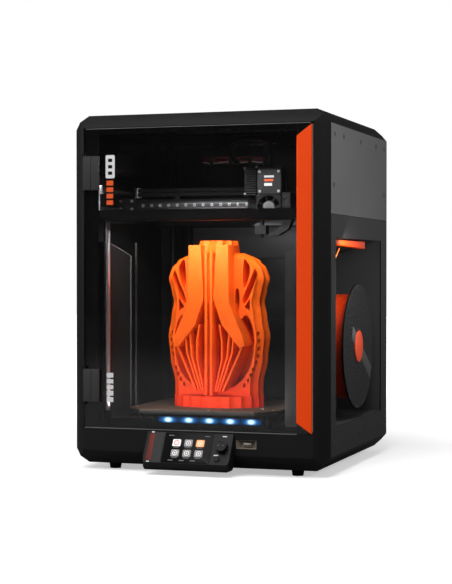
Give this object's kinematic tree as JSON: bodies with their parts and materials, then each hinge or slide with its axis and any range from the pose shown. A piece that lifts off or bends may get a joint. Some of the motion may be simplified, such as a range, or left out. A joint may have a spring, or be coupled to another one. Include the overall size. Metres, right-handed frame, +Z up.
{
  "type": "fdm printer",
  "caption": "Enclosed desktop printer with chamfered case, hinged glass door, rising bed, belt-driven gantry and side spool bay.",
  "frame": {"origin": "floor level under the middle of the whole object's box", "axes": "+X to the right seen from the door, +Y to the back, +Z up"},
  "size_m": [0.415, 0.444, 0.555],
  "materials": {
    "case_charcoal": "fine satin powder coat",
    "panel_grey": "fine satin powder coat",
    "frame_black": "black anodised",
    "inner_black": "satin powder coat",
    "black_plastic": "moulded matte",
    "grey_plastic": "printed matte",
    "orange_plastic": "satin",
    "print_orange": "layered print, satin",
    "door_glass": "clear, lightly smoked",
    "steel": "ground",
    "dark_steel": "black oxide",
    "aluminium": "satin",
    "brass": "machined",
    "sheet_bronze": "textured powder coat",
    "rubber": "matte",
    "light_white": "diffusing",
    "screen_glass": "glossy",
    "board_green": "solder mask",
    "lid_smoke": "glossy"
  },
  "bodies": {
    "case": {"base_pan": "case_charcoal", "top_frame": "case_charcoal", "corner_posts": "case_charcoal", "front_fascia": "case_charcoal", "left_side_panel": "case_charcoal", "right_upper_panel": "panel_grey", "right_lower_frame": "case_charcoal", "spool_bay_liner": "panel_grey", "rear_panel": "case_charcoal", "left_inner_cover": "inner_black", "chamber_floor": "inner_black", "gantry_frame": "frame_black", "rubber_feet": "rubber", "panel_screws": "dark_steel", "status_light_bar": "light_white", "y_rails": "steel", "z_rods": "steel", "stepper_motors": "dark_steel", "power_supply": "aluminium", "control_board": "board_green", "mains_inlet": "black_plastic", "y_belts": "rubber", "spool_axle": "grey_plastic", "filament_guide_arm": "orange_plastic", "filament_strand": "print_orange", "screen_shell": "black_plastic", "display_panel": "screen_glass", "exhaust_fan_frame": "black_plastic", "door_hinge_pins": "dark_steel", "loom_rear": "rubber"},
    "door": {"door_glass": "door_glass", "door_orange_strip": "orange_plastic", "door_hinge_covers": "grey_plastic"},
    "lid": {"top_lid": "lid_smoke"},
    "bed": {"bed_carrier": "frame_black", "heatbed": "aluminium", "print_sheet": "sheet_bronze", "sample_print": "print_orange"},
    "lead_screw_left": {"lead_screw_left": "steel"},
    "lead_screw_right": {"lead_screw_right": "steel"},
    "gantry": {"x_beam": "frame_black", "x_rail": "steel", "joint_blocks": "black_plastic", "loom_head": "rubber"},
    "print_head": {"x_carriage": "aluminium", "extruder_body": "grey_plastic", "gearbox_cover": "grey_plastic", "hotend": "brass", "blower_duct": "black_plastic", "hotend_fan_frame": "black_plastic"},
    "hotend_fan": {"hotend_fan_rotor": "grey_plastic"},
    "exhaust_fan": {"exhaust_fan_rotor": "black_plastic"},
    "spool": {"spool_reel": "black_plastic", "filament_winding": "print_orange"},
    "drive_pulley_left": {"drive_pulley_left": "aluminium"},
    "drive_pulley_right": {"drive_pulley_right": "aluminium"},
    "knob_shaft": {"knob_shaft": "steel"},
    "knob": {"jog_knob": "black_plastic"},
    "reset": {"reset_button": "black_plastic"},
    "rocker": {"power_rocker": "black_plastic"}
  },
  "joints": [
    {"name": "door_hinge", "type": "hinge", "parent": "case", "child": "door", "pos_m": [-0.183, -0.1955, 0.3], "axis": [0, 0, -1], "range_deg": [0, 125]},
    {"name": "lid_lift", "type": "slide", "parent": "case", "child": "lid", "axis": [0, 0, 1], "range_m": [0, 0.08]},
    {"name": "bed_lift", "type": "slide", "parent": "case", "child": "bed", "axis": [0, 0, 1], "range_m": [0, 0.27], "deforming": ["sample_print"]},
    {"name": "lead_screw_left_turn", "type": "hinge", "parent": "case", "child": "lead_screw_left", "pos_m": [-0.168, -0.018, 0.2], "axis": [0, 0, 1], "range_deg": [-10, 12160]},
    {"name": "lead_screw_right_turn", "type": "hinge", "parent": "case", "child": "lead_screw_right", "pos_m": [0.1195, -0.018, 0.2], "axis": [0, 0, 1], "range_deg": [-10, 12160]},
    {"name": "gantry_slide", "type": "slide", "parent": "case", "child": "gantry", "axis": [0, 1, 0], "range_m": [-0.075, 0.135], "deforming": ["loom_rear"]},
    {"name": "carriage_slide", "type": "slide", "parent": "gantry", "child": "print_head", "axis": [1, 0, 0], "range_m": [-0.2, 0.042], "deforming": ["loom_head"]},
    {"name": "hotend_fan_spin", "type": "hinge", "parent": "print_head", "child": "hotend_fan", "pos_m": [0.079, -0.068, 0.412], "axis": [0, 1, 0], "continuous": true},
    {"name": "exhaust_fan_spin", "type": "hinge", "parent": "case", "child": "exhaust_fan", "pos_m": [0.09, 0.2115, 0.47], "axis": [0, 1, 0], "continuous": true},
    {"name": "spool_spin", "type": "hinge", "parent": "case", "child": "spool", "pos_m": [0.17, 0.02, 0.19], "axis": [1, 0, 0], "continuous": true},
    {"name": "pulley_left_turn", "type": "hinge", "parent": "case", "child": "drive_pulley_left", "pos_m": [-0.172, 0.186, 0.44], "axis": [0, 0, 1], "range_deg": [-1300, 1300]},
    {"name": "pulley_right_turn", "type": "hinge", "parent": "case", "child": "drive_pulley_right", "pos_m": [0.172, 0.186, 0.44], "axis": [0, 0, 1], "range_deg": [-1300, 1300]},
    {"name": "knob_press", "type": "slide", "parent": "case", "child": "knob_shaft", "axis": [0, 0.8609, -0.5087], "range_m": [0, 0.0015], "stiffness_N_per_m": 400},
    {"name": "knob_turn", "type": "hinge", "parent": "knob_shaft", "child": "knob", "pos_m": [0.0478, -0.21203, 0.0467], "axis": [0, -0.8609, 0.5087], "continuous": true},
    {"name": "reset_press", "type": "slide", "parent": "case", "child": "reset", "axis": [0, 0.8609, -0.5087], "range_m": [0, 0.001], "stiffness_N_per_m": 400},
    {"name": "rocker_tilt", "type": "hinge", "parent": "case", "child": "rocker", "pos_m": [-0.132, 0.2155, 0.05], "axis": [1, 0, 0], "range_deg": [0, 14]}
  ],
  "couplings": [
    {"joint": "lead_screw_left_turn", "follows": "bed_lift", "rad_per_m": 785.4},
    {"joint": "lead_screw_right_turn", "follows": "bed_lift", "rad_per_m": 785.4},
    {"joint": "pulley_left_turn", "follows": "gantry_slide", "rad_per_m": 161.29},
    {"joint": "pulley_right_turn", "follows": "gantry_slide", "rad_per_m": -161.29}
  ]
}
